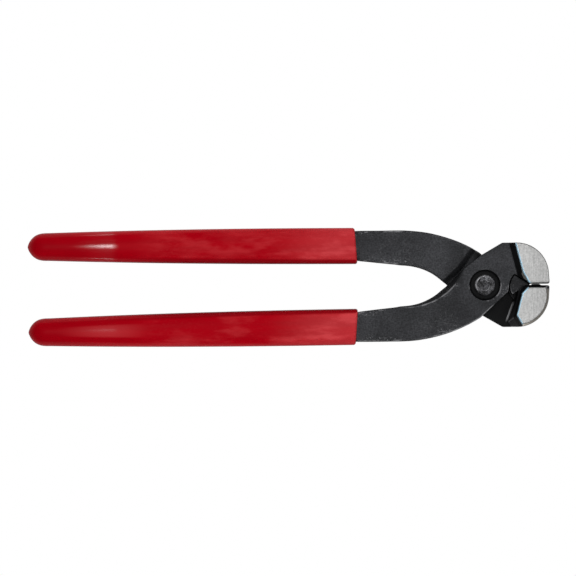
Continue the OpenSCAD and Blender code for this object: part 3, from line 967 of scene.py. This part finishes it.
def set_light(name, power, size, place, target, gloss=True):
    light = bpy.data.lights.new(name, "AREA")
    light.energy = power
    light.shape = "RECTANGLE"
    light.size, light.size_y = size
    lamp = bpy.data.objects.new(name, light)
    bpy.context.scene.collection.objects.link(lamp)
    lamp.location = place
    lamp.rotation_euler = (Vector(target) - Vector(place)).to_track_quat(
        "-Z", "Y").to_euler()
    lamp.visible_camera = False
    lamp.visible_glossy = gloss


def set_camera(settings):
    lens = bpy.data.cameras.new("camera")
    lens.sensor_width = 36
    lens.lens = lens.sensor_width * (settings.distance - PIVOT.z - PLATE) / settings.view_width
    lens.clip_end = 50
    camera = bpy.data.objects.new("camera", lens)
    bpy.context.scene.collection.objects.link(camera)
    camera.location = (*CAMERA_AIM, settings.distance)
    camera.rotation_euler = (0, 0, -settings.roll)
    bpy.context.scene.camera = camera


# ---------------------------------------------------------------- operators


class PLIERS_OT_levers(bpy.types.Operator):
    """Forge both levers from their frame solids"""

    bl_idname = "pliers.levers"
    bl_label = "Forge Levers"

    def execute(self, context):
        settings = context.scene.pliers_forging
        material = black_forging(settings)
        for node, body in LEVERS.items():
            forge_lever(node, body, settings, material)
        return {"FINISHED"}


class PLIERS_OT_rivet(bpy.types.Operator):
    """Turn and peen the pivot rivet"""

    bl_idname = "pliers.rivet"
    bl_label = "Peen Rivet"

    def execute(self, context):
        settings = context.scene.pliers_rivet
        make_rivet(settings, rivet_steel(settings))
        return {"FINISHED"}


class PLIERS_OT_grips(bpy.types.Operator):
    """Dip both grips"""

    bl_idname = "pliers.grips"
    bl_label = "Dip Grips"

    def execute(self, context):
        settings = context.scene.pliers_grips
        material = red_vinyl(settings)
        tree = grip_tree(material)
        for node, body in GRIPS.items():
            dip_grip(node, body, settings, tree, material)
        return {"FINISHED"}


class PLIERS_OT_stage(bpy.types.Operator):
    """Set the floor, lights and camera"""

    bl_idname = "pliers.stage"
    bl_label = "Set Stage"

    def execute(self, context):
        settings = context.scene.pliers_stage
        set_floor()
        world = bpy.data.worlds.new("studio")
        world.use_nodes = True
        stage_shader(world, ((1, 1, 1, 1), 1.0), ((1, 1, 1, 1), settings.fill))
        context.scene.world = world
        set_light("overhead_tent", settings.tent, (1.6, 1.6), (-0.2, 0.2, 2.0), (0, 0, 0),
                  gloss=False)
        set_light("jaw_softbox", settings.softbox, (1.1, 1.1), (0.75, 0.1, 2.0), (0.1, 0, 0))
        set_light("spark_light", settings.spark, (0.08, 0.22), (-0.135, 0.06, 1.7),
                  (-0.08, 0, 0))
        for side in (-1, 1):
            set_light("side_strip", settings.strips, (0.7, 0.1), (0, 0.7 * side, 0.1),
                      (0, 0, 0.01))
        set_camera(settings)
        context.scene.view_settings.view_transform = "Standard"
        return {"FINISHED"}


class PLIERS_PT_panel(bpy.types.Panel):
    """Lists the steps that finish the pliers"""

    bl_idname = "PLIERS_PT_panel"
    bl_label = "Wide-Jaw Pliers"
    bl_space_type = "VIEW_3D"
    bl_region_type = "UI"
    bl_category = "Pliers"

    def draw(self, context):
        for group, step in STEPS:
            box = self.layout.box()
            settings = getattr(context.scene, group)
            for name in SETTINGS[group].__annotations__:
                box.prop(settings, name)
            box.operator(step.bl_idname)


STEPS = [
    ("pliers_stage", PLIERS_OT_stage),
    ("pliers_forging", PLIERS_OT_levers),
    ("pliers_rivet", PLIERS_OT_rivet),
    ("pliers_grips", PLIERS_OT_grips),
]
SETTINGS = {
    "pliers_stage": StageSettings,
    "pliers_forging": ForgingSettings,
    "pliers_rivet": RivetSettings,
    "pliers_grips": GripSettings,
}


def register():
    for name, group in SETTINGS.items():
        bpy.utils.register_class(group)
        setattr(bpy.types.Scene, name, bpy.props.PointerProperty(type=group))
    for _, step in STEPS:
        bpy.utils.register_class(step)
    bpy.utils.register_class(PLIERS_PT_panel)


def unregister():
    bpy.utils.unregister_class(PLIERS_PT_panel)
    for _, step in reversed(STEPS):
        bpy.utils.unregister_class(step)
    for name, group in SETTINGS.items():
        delattr(bpy.types.Scene, name)
        bpy.utils.unregister_class(group)


def main():
    register()
    bpy.ops.pliers.stage()
    bpy.ops.pliers.levers()
    bpy.ops.pliers.rivet()
    bpy.ops.pliers.grips()


if __name__ == "__main__":
    main()
